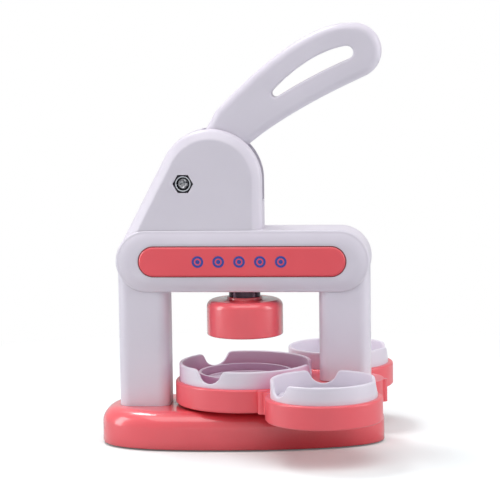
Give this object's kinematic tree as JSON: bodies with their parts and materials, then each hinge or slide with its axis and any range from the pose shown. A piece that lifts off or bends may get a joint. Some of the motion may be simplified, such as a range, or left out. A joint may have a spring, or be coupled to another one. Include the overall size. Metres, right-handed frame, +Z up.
{
  "type": "button badge maker",
  "caption": "Hand press for round button badges: a lever drives a ram through a beam on legs; a tray of die cups turns below.",
  "frame": {"origin": "on the floor, directly below the ram's axis", "axes": "+Z up, +X from the ram towards the right leg that carries the tray, +Y to the back"},
  "size_m": [0.2079, 0.2253, 0.3012],
  "materials": {
    "coral_abs": "glossy coral pink ABS, injection moulded",
    "white_abs": "satin cool white ABS, injection moulded",
    "dark_abs": "matte dark coral plate under the base",
    "rubber": "matte rubber foot",
    "plated_steel": "bright zinc plated steel",
    "dark_steel": "turned steel, dark oiled",
    "brass": "turned guide bush",
    "acetal": "natural acetal washer",
    "magnet_pad": "pale grey pad let into the head"
  },
  "bodies": {
    "base": {"base_shell": "plated_steel", "base_bottom_plate": "dark_abs", "rubber_feet": "rubber", "base_screws": "plated_steel", "left_leg": "white_abs", "right_leg": "white_abs", "leg_tie_bolts": "plated_steel", "leg_tie_washers": "plated_steel", "leg_tie_nuts": "plated_steel", "beam_housing": "white_abs", "beam_front_panel": "white_abs", "beam_rear_panel": "white_abs", "front_inlay": "plated_steel", "rear_inlay": "plated_steel", "panel_screws": "plated_steel", "hood_front_shell": "white_abs", "hood_rear_shell": "white_abs", "hood_screws": "plated_steel", "pivot_washers": "plated_steel", "pivot_bolt": "plated_steel", "pivot_nut": "plated_steel", "ram_guide_bush": "brass", "tray_thrust_washer": "acetal"},
    "lever": {"lever": "white_abs", "lever_bush": "plated_steel", "yoke_pin": "plated_steel", "yoke_pin_clips": "plated_steel"},
    "ram": {"ram_yoke": "dark_steel", "yoke_cross_pin": "plated_steel", "ram_shaft": "plated_steel", "ram_collar": "dark_steel", "return_spring": "plated_steel", "spring_washer": "plated_steel", "press_head": "plated_steel", "head_screw": "plated_steel", "head_pad": "magnet_pad"},
    "tray": {"die_tray": "plated_steel", "centre_die_ring": "white_abs", "centre_die_inner_ring": "white_abs", "centre_die_core": "white_abs", "front_die_ring": "white_abs", "front_die_core": "white_abs", "rear_die_ring": "white_abs", "rear_die_core": "white_abs"}
  },
  "joints": [
    {"name": "lever_swing", "type": "hinge", "parent": "base", "child": "lever", "pos_m": [-0.0417, 0, 0.1884], "axis": [0, 1, 0], "range_deg": [0, 40], "stiffness_Nm_per_rad": 1.2, "springref_deg": -20.05},
    {"name": "ram_press", "type": "slide", "parent": "base", "child": "ram", "axis": [0, 0, -1], "range_m": [0, 0.02998], "deforming": ["return_spring"]},
    {"name": "tray_turn", "type": "hinge", "parent": "base", "child": "tray", "pos_m": [0.0724, 0, 0.0375], "axis": [0, 0, 1], "range_deg": [-81, 82.5]}
  ],
  "couplings": [
    {"joint": "ram_press", "follows": "lever_swing", "m_per_rad": 0.042947}
  ]
}
